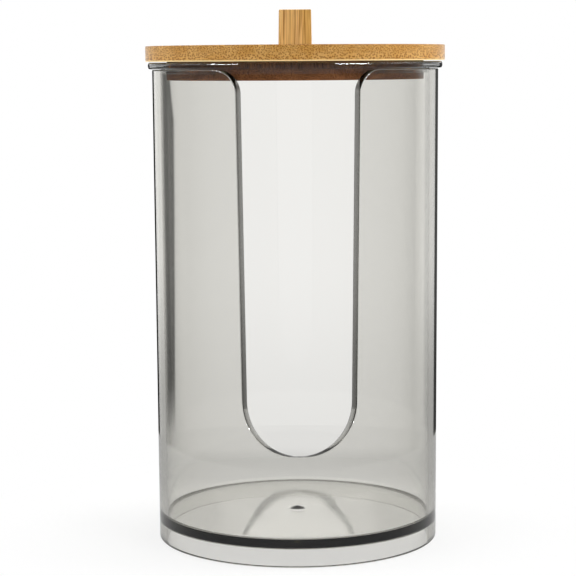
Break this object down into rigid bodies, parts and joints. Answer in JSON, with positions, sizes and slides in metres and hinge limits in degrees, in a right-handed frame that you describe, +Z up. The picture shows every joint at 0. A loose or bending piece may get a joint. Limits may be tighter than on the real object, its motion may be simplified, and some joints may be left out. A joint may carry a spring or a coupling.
{
  "type": "bathroom cup dispenser",
  "caption": "Round smoked clear canister with a tall open finger slot in front, a raised floor, and a lift-off bamboo lid with a square knob on a clear seal ring.",
  "frame": {"origin": "centre of the foot, on the surface that the canister stands on", "axes": "+Z up along the canister's axis, the finger slot faces -Y, +X to the right as seen from the slot's side"},
  "size_m": [0.1046, 0.1046, 0.1864],
  "materials": {
    "smoked_clear_plastic": "moulded clear plastic with a light smoke tint, polished",
    "clear_silicone": "translucent silicone, satin",
    "bamboo_board": "carbonised bamboo board, sanded, thin clear lacquer",
    "bamboo_plug_board": "carbonised bamboo board, sanded",
    "bamboo_post": "carbonised bamboo post, sanded, thin clear lacquer",
    "zinc_plated_steel": "zinc plated wood screw"
  },
  "bodies": {
    "canister": {"canister": "smoked_clear_plastic"},
    "seal": {"seal_ring": "clear_silicone"},
    "lid": {"lid_disc": "bamboo_board", "lid_plug": "bamboo_plug_board", "knob": "bamboo_post", "knob_screw": "zinc_plated_steel"}
  },
  "joints": [
    {"name": "lid_lift", "type": "slide", "parent": "canister", "child": "seal", "axis": [0, 0, 1], "range_m": [0, 0.06]},
    {"name": "lid_turn", "type": "hinge", "parent": "seal", "child": "lid", "pos_m": [0, 0, 0.16865], "axis": [0, 0, 1], "continuous": true}
  ]
}
